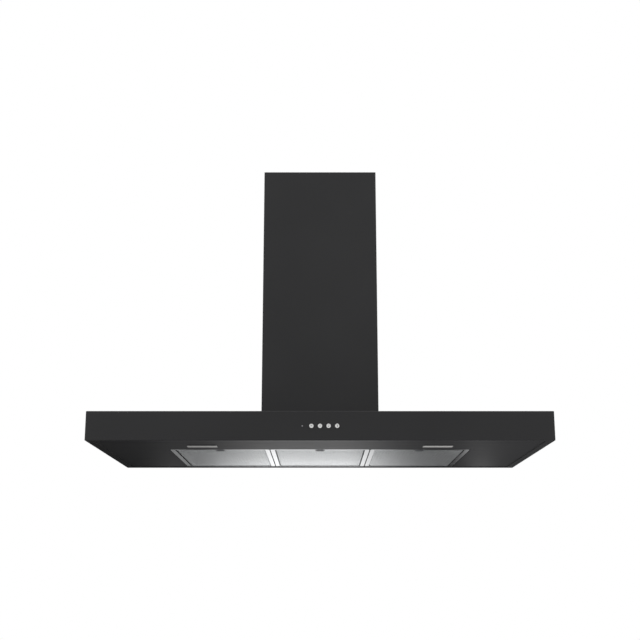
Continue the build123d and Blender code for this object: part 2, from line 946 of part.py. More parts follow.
def casing_half(side):
    """One half of the moulded casing: scroll wall, side plate, bell mouth, lugs, rim."""
    inside = scroll_face()
    outside = offset(inside, casing_wall)
    outside -= Pos(0, mouth_z + scroll_third) * Rectangle(4 * scroll_third, 2 * scroll_third)
    half = across_yz(0, outside, casing_side)
    reach = outlet_width + 2 * (duct_flange + casing_wall)
    rim_middle = mouth_z - rim_thickness / 2
    rim_outline = Pos(mouth_middle, rim_middle) * Rectangle(reach, rim_thickness)
    half += across_yz(0, rim_outline, casing_side + duct_flange)
    for u, v in lug_places:
        half += across_yz(0, Pos(u, v) * Circle(lug_radius), lug_height)
    half -= across_yz(-past, inside, casing_half_width + past)
    mouth = Pos(mouth_middle, mouth_z) * Rectangle(outlet_width, 2 * mouth_depth)
    half -= across_yz(-past, mouth, casing_half_width + past)
    for u, v in lug_places:
        half -= across_yz(-past, Pos(u, v) * Circle(screw_radius), lug_height + 2 * past)
    half -= across_yz(0, Circle(inlet_radius + bell_wall / 2), casing_side + past)
    # the bell mouth flares in two cones
    knee = (
        inlet_radius + bell_radius * bell_knee_out,
        casing_half_width + bell_radius * bell_knee_up,
    )
    rim = (inlet_radius + bell_radius, casing_half_width + bell_radius)
    bell = [
        (inlet_radius, casing_half_width),
        knee,
        rim,
        (rim[0], rim[1] - bell_wall),
        (knee[0] + bell_wall, knee[1] - bell_wall / 2),
        (inlet_radius + bell_wall, casing_half_width),
    ]
    half += along(0, wheel_y, wheel_z, turned(bell))
    if side == 1:
        for u, v in arm_places:
            hole = Pos(u, v) * Circle(screw_hole_radius)
            half -= across_yz(casing_half_width - past, hole, casing_wall + 2 * past)
        return half
    return mirror(half, Plane.YZ)


def blade_outline():
    """A forward-curved blade seen along the axis, rolled from strip in a few flat folds."""
    foot = Vector(blade_foot, 0)
    tip = Vector(wheel_radius - blade_thickness, 0).rotate(Axis.Z, blade_lean)
    middle = (foot + tip) * 0.5
    side = (tip - foot).normalized().rotate(Axis.Z, -90)
    belly = middle + side * blade_hollow
    curve = ThreePointArc(foot, belly, tip)
    folds = [curve @ (i / blade_folds) for i in range(blade_folds + 1)]
    return trace(Polyline(*folds), blade_thickness)


def impeller_blades():
    """The row of strips that are clamped between the wheel's two end rings."""
    blade = blade_outline()
    low = ring_width - wheel_half_width
    return [across_yz(low, turn * blade, -2 * low) for turn in PolarLocations(0, blade_count)]


def impeller_rings():
    """The two end rings of the wheel."""
    ring = Circle(wheel_radius) - Circle(wheel_radius - ring_depth)
    places = (-wheel_half_width, wheel_half_width - ring_width)
    return [across_yz(x, ring, ring_width) for x in places]


def impeller():
    """The wheel's centre disc and hub; the blades' feet sit in notches round the disc."""
    blade = blade_outline()
    disc = Circle(blade_foot + web_bite)
    disc -= [turn * blade for turn in PolarLocations(0, blade_count)]
    wheel = across_yz(-web_thickness / 2, disc, web_thickness)
    wheel += across_yz(-hub_back, Circle(hub_radius), hub_back + hub_front)
    bore = Circle(shaft_radius + hub_fit)
    return wheel - across_yz(-hub_back - past, bore, hub_back + hub_front + 2 * past)


def motor_shaft():
    """The shaft, from the hub's free end through both of the motor's bearings."""
    reach = motor_back + motor_boss_length + shaft_end
    return rod_x((-hub_back, reach), wheel_y, wheel_z, shaft_radius)


def motor_body():
    """The motor's drum with a raised band for its laminations and a boss at each end."""
    bore = shaft_radius + bearing_play
    front = motor_front
    back = motor_back
    band = (back - front) * motor_band_share
    outline = [
        (bore, front),
        (motor_radius - motor_shoulder[0], front),
        (motor_radius - motor_band, front + motor_shoulder[1]),
        (motor_radius - motor_band, front + band),
        (motor_radius, front + band),
        (motor_radius, back - band),
        (motor_radius - motor_band, back - band),
        (motor_radius - motor_band, back),
        (motor_boss_radius, back),
        (motor_boss_radius, back + motor_boss_length),
        (bore, back + motor_boss_length),
    ]
    drum = turned(outline)
    drum -= Pos(0, 0, front + bearing_width / 2) * Cylinder(bearing_radius, bearing_width)
    seat = back + motor_boss_length - bearing_width / 2
    drum -= Pos(0, 0, seat) * Cylinder(bearing_radius, bearing_width)
    return along(0, wheel_y, wheel_z, drum)


def motor_bearings():
    """A sleeve bearing in each end of the motor."""
    ring = Cylinder(bearing_radius - bearing_fit, bearing_width)
    ring -= Cylinder(shaft_radius + bearing_play, bearing_width + past)
    back = motor_back + motor_boss_length - bearing_width / 2
    places = (motor_front + bearing_width / 2, back)
    return [along(x, wheel_y, wheel_z, ring) for x in places]


def motor_bracket():
    """A sheet spider on the motor's rear face with three arms out to the rubber bushes."""
    plate = Circle(motor_radius - motor_plate_inset)
    for angle in arm_angles:
        plate += Rot(0, 0, angle) * Pos(arm_radius / 2, 0) * Rectangle(arm_radius, arm_width)
        plate += Rot(0, 0, angle) * Pos(arm_radius, 0) * Circle(arm_width / 2)
    plate -= Circle(motor_boss_radius + seat_gap)
    for angle in arm_angles:
        plate -= Rot(0, 0, angle) * Pos(arm_radius, 0) * Circle(screw_hole_radius)
    return across_yz(motor_back, plate, arm_sheet)


def rubber_bushes():
    """A bush under the end of each arm, waisted at its middle."""
    height = motor_back - casing_side
    outline = [
        (screw_hole_radius, 0),
        (bush_radius, 0),
        (bush_radius - bush_waist, height / 2),
        (bush_radius, height),
        (screw_hole_radius, height),
    ]
    bush = turned(outline)
    return [along(casing_side, wheel_y + u, wheel_z + v, bush) for u, v in arm_places]


def motor_screws():
    """The screws through the arms and bushes into the casing's side plate."""
    seat = motor_back + arm_sheet
    length = seat - casing_half_width + screw_end
    return [along(seat, wheel_y + u, wheel_z + v, screw(length)) for u, v in arm_places]


def casing_screws():
    """The screws that hold the two casing halves together at their lugs."""
    length = 2 * lug_height + screw_end
    return [along(lug_height, wheel_y + u, wheel_z + v, screw(length)) for u, v in lug_places]


def square_to_round(wide, deep, radius, low, high):
    """A folded transition: a fan of flat facets from each corner of the mouth to the round."""
    middle = wheel_y + mouth_middle
    corners = []
    for a, b in ((1, 1), (-1, 1), (-1, -1), (1, -1)):
        corners.append(Vector(a * wide / 2, middle + b * deep / 2, low))
    quarter = transition_facets
    ring = []
    for i in range(4 * quarter):
        angle = radians(90 * i / quarter)
        ring.append(Vector(radius * cos(angle), collar_y + radius * sin(angle), high))
    facets = [corners, ring]
    for k, corner in enumerate(corners):
        for i in range(quarter):
            first = k * quarter + i
            facets.append([corner, ring[first], ring[(first + 1) % len(ring)]])
        last = ring[(k + 1) * quarter % len(ring)]
        facets.append([corner, last, corners[(k + 1) % 4]])
    faces = [Face(Wire.make_polygon(points, close=True)) for points in facets]
    return Solid(Shell(faces))


def outlet_duct():
    """The sheet duct from the casing's rectangular mouth to the round hole in the box."""
    top = box_plate_low
    wide = 2 * casing_half_width
    bore = collar_radius - collar_wall
    duct = square_to_round(
        wide + 2 * duct_wall, outlet_width + 2 * duct_wall, bore + duct_wall, duct_bottom, top
    )
    rim = Pos(0, wheel_y + mouth_middle, duct_bottom + duct_flange_thickness / 2)
    duct += rim * Box(
        wide + 2 * (casing_wall + duct_flange),
        outlet_width + 2 * (casing_wall + duct_flange),
        duct_flange_thickness,
    )
    head = Pos(0, collar_y, top - duct_flange_thickness / 2)
    duct += head * Cylinder(collar_flange_radius, duct_flange_thickness)
    duct -= square_to_round(wide, outlet_width, bore, duct_bottom, top)
    for x, y in collar_screw_places:
        duct -= rod_z(x, y, (top - duct_flange_thickness - past, top + past), screw_radius)
    return duct


def duct_collar():
    """The spigot for the exhaust duct, with two stops inside for each of the flaps."""
    bore = collar_radius - collar_wall
    outline = [
        (bore, 0),
        (collar_flange_radius, 0),
        (collar_flange_radius, collar_flange_thickness),
        (collar_radius, collar_flange_thickness),
        (collar_radius, collar_flange_thickness + collar_length),
        (bore, collar_flange_thickness + collar_length),
    ]
    collar = turned(outline)
    stop = Pos(bore - collar_stop_reach / 2, 0, collar_stop_height - collar_stop_thickness / 2)
    stop *= Box(collar_stop_reach + collar_wall, collar_stop_width, collar_stop_thickness)
    for angle in collar_screw_angles:
        collar += Rot(0, 0, angle) * stop
    collar = Pos(0, collar_y, box_top) * collar
    reach = collar_radius + past
    collar -= rod_x((-reach, reach), collar_y, flap_pin_z, flap_pin_radius)
    flange = (box_top - past, box_top + collar_flange_thickness + past)
    for x, y in collar_screw_places:
        collar -= rod_z(x, y, flange, screw_hole_radius)
    return collar


def collar_screws():
    """The screws through the collar's flange and the box's lid into the duct's flange."""
    seat = box_top + collar_flange_thickness
    length = collar_flange_thickness + sheet + duct_flange_thickness
    return [Pos(x, y, seat) * screw(length) for x, y in collar_screw_places]


def flap_pin():
    """The pin across the collar that both flaps turn on."""
    return rod_x((-collar_radius, collar_radius), collar_y, flap_pin_z, flap_pin_radius)


def flap(side):
    """A half-round flap; side is +1 behind the pin and -1 in front of it."""
    inset = flap_knuckle_radius + seat_gap
    reach = 2 * flap_radius
    outline = Circle(flap_radius) - Pos(0, -reach / 2 + inset) * Rectangle(2 * reach, reach)
    plate = extrude(Pos(0, 0, -flap_thickness / 2) * outline, flap_thickness)
    for x in flap_knuckle_places:
        # the knuckles of the two flaps lie side by side along the pin
        low = -flap_knuckle_width / 2 + x
        high = flap_knuckle_width / 2 + x
        plate += rod_x((low, high), 0, 0, flap_knuckle_radius)
        leaf = (-flap_thickness / 2, flap_thickness / 2)
        plate += block((low, high), (0, inset + flap_knuckle_root), leaf)
        plate -= rod_x((low - past, high + past), 0, 0, flap_pin_radius + flap_pin_play)
    if side == -1:
        plate = Rot(0, 0, 180) * plate
    return Pos(0, collar_y, flap_pin_z) * plate


def capacitor():
    """The motor's run capacitor, upright in the rear corner on the motor's side."""
    rim = capacitor_radius - capacitor_edge
    low = -capacitor_length
    outline = [
        (0, low),
        (rim, low),
        (capacitor_radius, low + capacitor_edge),
        (capacitor_radius, -capacitor_edge),
        (rim, 0),
        (0, 0),
    ]
    can = Pos(capacitor_x, capacitor_y, capacitor_top) * turned(outline)
    tag_z = capacitor_top + capacitor_tag[2] / 2
    for side in (-1, 1):
        tag_x = capacitor_x + side * capacitor_tag_offset
        can += Pos(tag_x, capacitor_y, tag_z) * Box(*capacitor_tag)
    return can


def capacitor_strap():
    """A round clamp about the capacitor with a foot on the box's side wall."""
    x = capacitor_x
    y = capacitor_y
    middle = capacitor_top - capacitor_length / 2
    span = (middle - strap_width / 2, middle + strap_width / 2)
    ring = rod_z(x, y, span, capacitor_radius + strap_sheet)
    foot_x = box_half_width - sheet
    ring += block((foot_x - strap_sheet, foot_x), (y - strap_foot, y), span)
    return ring - rod_z(x, y, (span[0] - past, span[1] + past), capacitor_radius + strap_fit)


def terminal_limits():
    """The terminal box's limits along x, y and z, in the rear corner opposite the motor."""
    x0 = -box_half_width + sheet
    y1 = box_rear - sheet - seat_gap
    z1 = box_plate_low
    wide, deep, high = terminal_size
    return (x0, x0 + wide), (y1 - deep, y1), (z1 - high, z1)


def terminal_box():
    """The box for the mains terminals, on the side wall under the gland, open inwards."""
    x, y, z = terminal_limits()
    inner = terminal_wall
    box = block((x[0], x[1] - inner), y, z)
    inside = (y[0] + inner, y[1] - inner)
    box -= block((x[0] + inner, x[1] + past), inside, (z[0] + inner, z[1] - inner))
    return box - rod_z(gland_x, gland_y, (z[1] - inner - past, z[1] + past), gland_hole)


def terminal_lid():
    """The lid of the terminal box, with a shallow raised field."""
    x, y, z = terminal_limits()
    margin = terminal_lid_margin
    lid = block((x[1] - terminal_wall, x[1]), y, z)
    return lid + block(
        (x[1] - terminal_wall, x[1] + terminal_lid_rise),
        (y[0] + margin, y[1] - margin),
        (z[0] + margin, z[1] - margin),
    )


def cable_gland():
    """A gland in the box's lid: hexagonal body, domed nut, and a clamping bore for the lead."""
    low = box_plate_low - terminal_wall - gland_neck_reach
    high = box_top + gland_height + past
    neck = rod_z(gland_x, gland_y, (low, box_top + past), gland_radius - gland_neck_inset)
    place = Pos(gland_x, gland_y, box_top)
    nut = extrude(place * RegularPolygon(gland_radius, 6), gland_nut_height)
    outline = [
        (0, gland_nut_height),
        (gland_radius - gland_cap_inset, gland_nut_height),
        (gland_radius - gland_cap_inset, gland_cap_height),
        (gland_radius - gland_dome_inset, gland_height),
        (0, gland_height),
    ]
    gland = neck + nut + place * turned(outline)
    gland -= rod_z(gland_x, gland_y, (low - past, box_top + gland_entry_rise), gland_entry)
    return gland - rod_z(gland_x, gland_y, (box_top, high), gland_bore)


# ---- the hood ----

pieces = {
    "canopy_shell": canopy_shell(),
    "underside_panel": underside_panel(),
    "control_housing": control_housing(),
    "control_board": control_board(),
    "tact_switches": tact_switches(),
    "pilot_lens": pilot_lens(),
    "lower_chimney": lower_chimney(),
    "upper_chimney": upper_chimney(),
    "chimney_bracket": chimney_bracket(),
    "blower_box": blower_box(),
    "box_back": box_back(),
    "box_lid": box_lid(),
    "wall_bracket": wall_bracket(),
    "canopy_screws": canopy_screws(),
    "casing_left": casing_half(-1),
    "casing_right": casing_half(1),
    "casing_screws": casing_screws(),
    "impeller": impeller(),
    "impeller_blades": impeller_blades(),
    "impeller_rings": impeller_rings(),
    "motor_shaft": motor_shaft(),
    "motor_body": motor_body(),
    "motor_bearings": motor_bearings(),
    "motor_bracket": motor_bracket(),
    "rubber_bushes": rubber_bushes(),
    "motor_screws": motor_screws(),
    "outlet_duct": outlet_duct(),
    "duct_collar": duct_collar(),
    "collar_screws": collar_screws(),
    "flap_pin": flap_pin(),
    "flap_front": flap(-1),
    "flap_rear": flap(1),
    "capacitor": capacitor(),
    "capacitor_strap": capacitor_strap(),
    "terminal_box": terminal_box(),
    "terminal_lid": terminal_lid(),
    "cable_gland": cable_gland(),
}
for side, x in lamp_places.items():
    pieces["lamp_lens_" + side] = lamp_lens(x)
    pieces["lamp_housing_" + side] = lamp_housing(x)
    pieces["led_board_" + side] = led_board(x)
for name, x in zip(button_names, button_places):
    pieces["button_" + name] = button(x)
for side, x in zip(filter_sides, filter_centres):
    pieces["filter_frame_" + side] = filter_frame(x)
    pieces["filter_mesh_" + side] = filter_mesh(x)
    pieces["latch_case_" + side] = latch_case(x)
    pieces["latch_slider_" + side] = latch_slider(x)

os.makedirs("parts", exist_ok=True)
for name, piece in pieces.items():
    solids = piece if isinstance(piece, list) else [piece]
    lowered = [Pos(0, 0, -fixing_height) * solid for solid in solids]
    whole = lowered[0] if len(lowered) == 1 else Compound(children=lowered)
    export_step(whole, "parts/" + name + ".step")
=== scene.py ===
import math

import bmesh
import bpy
from mathutils import Matrix, Vector


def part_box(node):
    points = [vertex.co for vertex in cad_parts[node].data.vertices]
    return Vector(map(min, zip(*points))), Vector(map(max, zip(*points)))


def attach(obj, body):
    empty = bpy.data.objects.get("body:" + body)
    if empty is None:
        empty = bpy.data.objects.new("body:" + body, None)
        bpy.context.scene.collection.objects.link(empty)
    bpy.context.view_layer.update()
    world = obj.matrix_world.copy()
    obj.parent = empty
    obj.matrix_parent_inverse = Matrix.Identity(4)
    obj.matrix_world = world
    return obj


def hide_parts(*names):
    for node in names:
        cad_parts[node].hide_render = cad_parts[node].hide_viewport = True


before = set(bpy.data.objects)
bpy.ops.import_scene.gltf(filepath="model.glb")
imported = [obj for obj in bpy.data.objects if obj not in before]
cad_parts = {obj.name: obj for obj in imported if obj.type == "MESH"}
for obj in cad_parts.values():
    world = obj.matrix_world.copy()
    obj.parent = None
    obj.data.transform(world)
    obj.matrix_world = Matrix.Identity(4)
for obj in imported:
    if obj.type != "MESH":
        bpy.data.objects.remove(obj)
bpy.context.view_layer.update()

mm = 0.001

# ---- camera ----
# The hood is seen from the front, a little below its lower edge, by a camera that looks
# slightly up. The frame is square, so the lens is worked out for an image of 640 x 640.

image_side = 640
focal_pixels = 1093
sensor = 36.0
camera_place = (0.0, -2.561, -0.528)
camera_pitch = 13.90

bpy.ops.object.select_all(action="DESELECT")
bpy.ops.object.camera_add(
    location=camera_place, rotation=(math.radians(90 + camera_pitch), 0, 0)
)
camera = bpy.context.object
camera.name = "camera"
camera.data.sensor_width = sensor
camera.data.lens = focal_pixels / image_side * sensor
bpy.context.scene.camera = camera
bpy.context.scene.view_settings.view_transform = "Standard"

# ---- canopy ----
# The flat box of folded and welded steel sheet, with its lower lips turned in. It is coated
# with a dark grey satin polyester powder, baked on.

# Nearly all of a noise texture's values lie between these.
noise_span = (0.3, 0.7)


def linear(code):
    """An sRGB hex colour as the linear colour that a shader takes."""
    parts = [int(code[i : i + 2], 16) / 255 for i in (1, 3, 5)]
    parts = [c / 12.92 if c <= 0.04045 else ((c + 0.055) / 1.055) ** 2.4 for c in parts]
    return (*parts, 1.0)


def per_metre(size):
    """How often a pattern of this size in millimetres repeats in a metre."""
    return 1 / (size * mm)


def add(tree, kind, inputs=None, **settings):
    """A shader node with its settings; each input takes a value or another node's output."""
    made = tree.nodes.new("ShaderNode" + kind)
    for name, value in settings.items():
        setattr(made, name, value)
    for name, value in (inputs or {}).items():
        if isinstance(value, bpy.types.NodeSocket):
            tree.links.new(value, made.inputs[name])
        else:
            made.inputs[name].default_value = value
    return made


def material(name, **values):
    """A new material; the values go on its shader's own sockets."""
    made = bpy.data.materials.new(name)
    made.use_nodes = True
    tree = made.node_tree
    shader = tree.nodes["Principled BSDF"]
    for key, value in values.items():
        shader.inputs[key.replace("_", " ")].default_value = value
    place = add(tree, "TexCoord").outputs["Object"]
    return made, tree, shader, place


def tint(tree, shader, factor, tones, span=(0.0, 1.0)):
    """Blends the base colour from one hex tone to another over a span of the factor."""
    blend = add(tree, "ValToRGB", {"Fac": factor})
    for stop, position, code in zip(blend.color_ramp.elements, span, tones):
        stop.position = position
        stop.color = linear(code)
    tree.links.new(blend.outputs["Color"], shader.inputs["Base Color"])


def wear(tree, shader, factor, rough, bump=None, span=noise_span):
    """Lets a factor drive the roughness, and the height by a strength and a depth in mm."""
    inputs = {"Value": factor, "From Min": span[0], "From Max": span[1]}
    inputs.update({"To Min": rough[0], "To Max": rough[1]})
    tree.links.new(add(tree, "MapRange", inputs).outputs["Result"], shader.inputs["Roughness"])
    if bump:
        inputs = {"Height": factor, "Strength": bump[0], "Distance": bump[1] * mm}
        tree.links.new(add(tree, "Bump", inputs).outputs["Normal"], shader.inputs["Normal"])


def grained(name, grain, rough, bump=None, tones=None, drift=None, stretch=1.0, **values):
    """A finish whose soft grain is in its roughness and height, and whose tones drift.

    The grain and the drift are in millimetres. Without a drift the tones follow the grain.
    The stretch says how many times longer along X than across it the grain is.
    """
    made, tree, shader, place = material(name, **values)
    grain_place = place
    if stretch > 1:
        inputs = {"Vector": place, "Scale": (1 / stretch, 1, 1)}
        grain_place = add(tree, "Mapping", inputs).outputs["Vector"]
    inputs = {"Vector": grain_place, "Scale": per_metre(grain)}
    factor = add(tree, "TexNoise", inputs).outputs["Fac"]
    wear(tree, shader, factor, rough, bump)
    if drift:
        inputs = {"Vector": place, "Scale": per_metre(drift)}
        factor = add(tree, "TexNoise", inputs).outputs["Fac"]
    if tones:
        tint(tree, shader, factor, tones, noise_span)
    return made


def dress(finish, *nodes):
    """Gives CAD nodes their finish."""
    for name in nodes:
        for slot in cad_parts[name].material_slots:
            slot.material = finish


# Satin powder coat: dark, even, half dull, with an orange peel of about 1.5 mm.
satin_paint = grained(
    "satin_powder_coat",
    grain=1.5,
    rough=(0.42, 0.5),
    bump=(0.15, 0.05),
    tones=("#202021", "#252526"),
    drift=260,
    Specular_IOR_Level=0.2,
    Roughness=0.45,
)
dress(satin_paint, "canopy_shell")

# ---- underside panel ----
# A shallow steel tray laid on the canopy's lips, with the filter opening and two lamp
# cut-outs. Its thin satin enamel shows the rolling direction of the sheet as faint streaks.

streak_length = 70.0
streak_width = 1.2
panel_paint = grained(
    "satin_enamel",
    grain=streak_width,
    rough=(0.44, 0.56),
    bump=(0.1, 0.03),
    tones=("#232324", "#29292a"),
    stretch=streak_length / streak_width,
    Specular_IOR_Level=0.1,
    Roughness=0.5,
)
dress(panel_paint, "underside_panel")

# ---- blower box and brackets ----
# The folded housing that hangs on the wall inside the chimney, its rear wall and its lid,
# with the two wall brackets: hot-dip galvanised sheet, bright grey with zinc crystals.

# Each crystal has its own tone and gloss, and a fine frost lies over them all.
spangle = 7.0
frost_grain = 0.8
galvanised, tree, shader, place = material("galvanised_steel", Metallic=1.0, Roughness=0.4)
crystals = add(tree, "TexVoronoi", {"Vector": place, "Scale": per_metre(spangle)})
crystal_tone = add(tree, "SeparateColor", {"Color": crystals.outputs["Color"]}).outputs["Red"]
tint(tree, shader, crystal_tone, ("#a3a7aa", "#b9bdc0"))
wear(tree, shader, crystal_tone, rough=(0.46, 0.36), span=(0.0, 1.0))
frost = add(tree, "TexNoise", {"Vector": place, "Scale": per_metre(frost_grain)})
frosting = add(
    tree, "Bump", {"Height": frost.outputs["Fac"], "Strength": 0.12, "Distance": 0.05 * mm}
)
tree.links.new(frosting.outputs["Normal"], shader.inputs["Normal"])
dress(galvanised, "blower_box", "box_back", "box_lid", "wall_bracket", "chimney_bracket")

# ---- blower ----
# The two moulded casing halves are grey polypropylene, with the fine dull grain of an eroded
# mould. The double-inlet wheel is galvanised: a disc, two end rings and the blades they crimp.

grey_moulding = grained(
    "grey_polypropylene",
    grain=0.6,
    rough=(0.45, 0.6),
    bump=(0.25, 0.05),
    tones=("#63676a", "#73777a"),
    drift=60,
    Roughness=0.5,
)
dress(grey_moulding, "casing_left", "casing_right")
dress(galvanised, "impeller", "impeller_blades", "impeller_rings")

# A wave texture turns by this many radians over one unit. A wave's size is given for one
# radian, so its crests lie 6.3 times as far apart.
wave_turn = 20

# Ground steel: the motor's shaft and the flap's pin, bright with rings from the grinding
# wheel. The real ones are too fine to show, so they are drawn 3 mm apart.
grinding = 0.5
ground_steel, tree, shader, place = material(
    "ground_steel", Metallic=1.0, Base_Color=linear("#b9bbbd"), Roughness=0.25
)
inputs = {"Vector": place, "Scale": per_metre(grinding) / wave_turn}
rings = add(tree, "TexWave", inputs, bands_direction="X").outputs["Fac"]
wear(tree, shader, rings, rough=(0.18, 0.32), bump=(0.1, 0.01))
dress(ground_steel, "motor_shaft", "flap_pin")

# ---- motor ----
# A closed capacitor-run motor: black enamel over its laminations and drum, sintered bronze
# bearings soaked in oil, a galvanised spider, and rubber bushes under the spider's arms.

# The enamel is half glossy and follows the edges of the laminations. The real ones are too
# thin to show, so they are drawn 6 mm apart.
lamination = 1.0
motor_enamel, tree, shader, place = material("motor_enamel", Roughness=0.4)
inputs = {"Vector": place, "Scale": per_metre(lamination) / wave_turn}
laminations = add(tree, "TexWave", inputs, bands_direction="X").outputs["Fac"]
wear(tree, shader, laminations, rough=(0.35, 0.5), bump=(0.4, 0.1))
tint(tree, shader, laminations, ("#1d1e20", "#2b2d30"))
dress(motor_enamel, "motor_body")

# Sintered bronze: brown, and dulled by the pores between its grains.
bronze = grained(
    "sintered_bronze",
    grain=0.4,
    rough=(0.35, 0.6),
    bump=(0.4, 0.05),
    Metallic=1.0,
    Base_Color=linear("#93703f"),
    Roughness=0.45,
)
dress(bronze, "motor_bearings")

# Moulded rubber: black and matt.
rubber = grained(
    "moulded_rubber",
    grain=0.5,
    rough=(0.7, 0.9),
    bump=(0.2, 0.05),
    Base_Color=linear("#1a1a1a"),
    Roughness=0.8,
)
dress(rubber, "rubber_bushes")
dress(galvanised, "motor_bracket")

# ---- outlet ----
# The folded duct from the casing's mouth to the round collar, and the two half-round flaps
# on a pin that keep the air from blowing back. All are galvanised sheet.

dress(galvanised, "outlet_duct", "duct_collar", "flap_front", "flap_rear")

# ---- electrics ----
# The motor's run capacitor in its clamp, and the box for the mains terminals with its lid
# and the gland above it. The can is white and the rest black flame-retardant plastic.

# Moulded polycarbonate: white, smooth and half glossy. The lamps' trays are made of it too.
white_moulding = grained(
    "white_polycarbonate",
    grain=0.7,
    rough=(0.35, 0.5),
    bump=(0.15, 0.04),
    tones=("#dcdbd6", "#e8e7e3"),
    drift=40,
    Roughness=0.4,
)
dress(white_moulding, "capacitor")
dress(galvanised, "capacitor_strap")

# Moulded polyamide: black, with a dull grain.
black_moulding = grained(
    "black_polyamide",
    grain=0.6,
    rough=(0.45, 0.62),
    bump=(0.3, 0.05),
    tones=("#161617", "#1f1f21"),
    drift=30,
    Roughness=0.5,
)
dress(black_moulding, "terminal_box", "terminal_lid", "cable_gland", "control_housing")

# ---- controls ----
# Behind the fascia a moulded housing guides four turned metal buttons, pressed against
# small switches on a circuit board. A smoked light pipe beside them shows that the hood is on.

# Solder mask: glossy green, paler over the copper tracks. A brick texture's rows, which the
# tracks run between, are a quarter of a unit high.
track_pitch = 2.0
brick_row = 0.25
circuit_board, tree, shader, place = material("solder_mask", Roughness=0.3)
upright = add(tree, "Mapping", {"Vector": place, "Rotation": (math.pi / 2, 0, 0)})
tracks = add(
    tree,
    "TexBrick",
    {
        "Vector": upright.outputs["Vector"],
        "Color1": linear("#1b5a32"),
        "Color2": linear("#1f6539"),
        "Mortar": linear("#2f7d4b"),
        "Scale": per_metre(track_pitch) * brick_row,
        "Mortar Size": 0.04,
    },
)
tree.links.new(tracks.outputs["Color"], shader.inputs["Base Color"])
dress(circuit_board, "control_board", "led_board_left", "led_board_right")

# The switches' moulded plastic: black, smooth and half glossy.
switch_black = grained(
    "switch_plastic",
    grain=0.3,
    rough=(0.3, 0.45),
    bump=(0.2, 0.02),
    Base_Color=linear("#19191a"),
    Roughness=0.35,
)
dress(switch_black, "tact_switches")

# Smoked polycarbonate: grey, smooth and glossy.
smoked = grained(
    "smoked_polycarbonate",
    grain=0.5,
    rough=(0.15, 0.3),
    Base_Color=linear("#7a7a7c"),
    Roughness=0.2,
)
dress(smoked, "pilot_lens")

# Turned metal with a satin nickel plating: rings about each button's own centre, made by
# folding the fascia's width into one pitch of the buttons. The real ones are too fine to
# show, so they are drawn 2 mm apart.
button_names = ["light", "speed_1", "speed_2", "speed_3"]
button_pitch = 16.5
button_first = -16.5
button_rings = 0.35
button_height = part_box("button_light")[0].z * 0.5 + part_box("button_light")[1].z * 0.5
button_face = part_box("button_light")[0].y

nickel, tree, shader, place = material(
    "satin_nickel", Metallic=1.0, Base_Color=linear("#cbcbca"), Roughness=0.3
)
axes = add(tree, "SeparateXYZ", {"Vector": place})
folded = add(
    tree,
    "Math",
    {
        0: axes.outputs["X"],
        1: (button_first - button_pitch / 2) * mm,
        2: (button_first + button_pitch / 2) * mm,
    },
    operation="WRAP",
)
across = add(tree, "Math", {0: folded.outputs[0], 1: button_first * mm}, operation="SUBTRACT")
upward = add(tree, "Math", {0: axes.outputs["Z"], 1: button_height}, operation="SUBTRACT")
face = add(tree, "CombineXYZ", {"X": across.outputs[0], "Y": upward.outputs[0]})
inputs = {"Vector": face.outputs["Vector"], "Scale": per_metre(button_rings) / wave_turn}
turning = add(tree, "TexWave", inputs, wave_type="RINGS", rings_direction="Z").outputs["Fac"]
wear(tree, shader, turning, rough=(0.22, 0.38), bump=(0.15, 0.02))
for name in button_names:
    dress(nickel, "button_" + name)

# The symbols are printed on the dished faces in matt black: a small lamp with rays, and the
# speeds' numbers. The lamp's sizes are shares of the symbol's height. A number fills its
# share of the font's size, and is swollen a little to print boldly.
glyph_height = 3.9
lamp_sides = 24
lamp_radius = 0.2
lamp_rays = 8
ray_length = 0.17
ray_width = 0.08
ray_middle = 0.4
number_share = 0.7
number_swell = 0.012
weld_distance = 0.01
dish_depth = 0.35
dish_radius = 3.7
print_lift = 0.02

ink = grained(
    "printing_ink",
    grain=0.2,
    rough=(0.5, 0.7),
    Base_Color=linear("#17171a"),
    Roughness=0.6,
)


def only(piece):
    """Makes one object the only selected one."""
    bpy.ops.object.select_all(action="DESELECT")
    piece.select_set(True)
    bpy.context.view_layer.objects.active = piece


def join(pieces, name):
    """Joins pieces into the first one."""
    only(pieces[0])
    for piece in pieces:
        piece.select_set(True)
    bpy.ops.object.join()
    pieces[0].name = name
    return pieces[0]


def finished(piece, name, finish, body):
    """Names a new piece, gives it its finish, and lets it ride on its body."""
    piece.name = name
    piece.data.name = name
    piece.data.materials.clear()
    piece.data.materials.append(finish)
    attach(piece, body)


def number_sign(text, height):
    """A number as a flat mesh, centred on the origin in the plane of X and Y."""
    bpy.ops.object.select_all(action="DESELECT")
    bpy.ops.object.text_add(location=(0, 0, 0))
    made = bpy.context.object
    made.data.body = text
    made.data.size = height / number_share
    made.data.offset = number_swell * height
    bpy.ops.object.convert(target="MESH")
    made = bpy.context.object
    corners = [Vector(corner) for corner in made.bound_box]
    made.data.transform(Matrix.Translation(-sum(corners, Vector()) / len(corners)))
    return made


def lamp_sign(height):
    """A lamp as a disc with short rays about it, in the plane of X and Y."""
    bpy.ops.object.select_all(action="DESELECT")
    bpy.ops.mesh.primitive_circle_add(
        vertices=lamp_sides, radius=height * lamp_radius, fill_type="NGON"
    )
    parts = [bpy.context.object]
    for i in range(lamp_rays):
        turn = Matrix.Rotation(2 * math.pi * i / lamp_rays, 4, "Z")
        bpy.ops.mesh.primitive_plane_add(size=1)
        ray = bpy.context.object
        ray.data.transform(Matrix.Diagonal((height * ray_length, height * ray_width, 1, 1)))
        ray.data.transform(turn @ Matrix.Translation((height * ray_middle, 0, 0)))
        parts.append(ray)
    return join(parts, "lamp_sign")


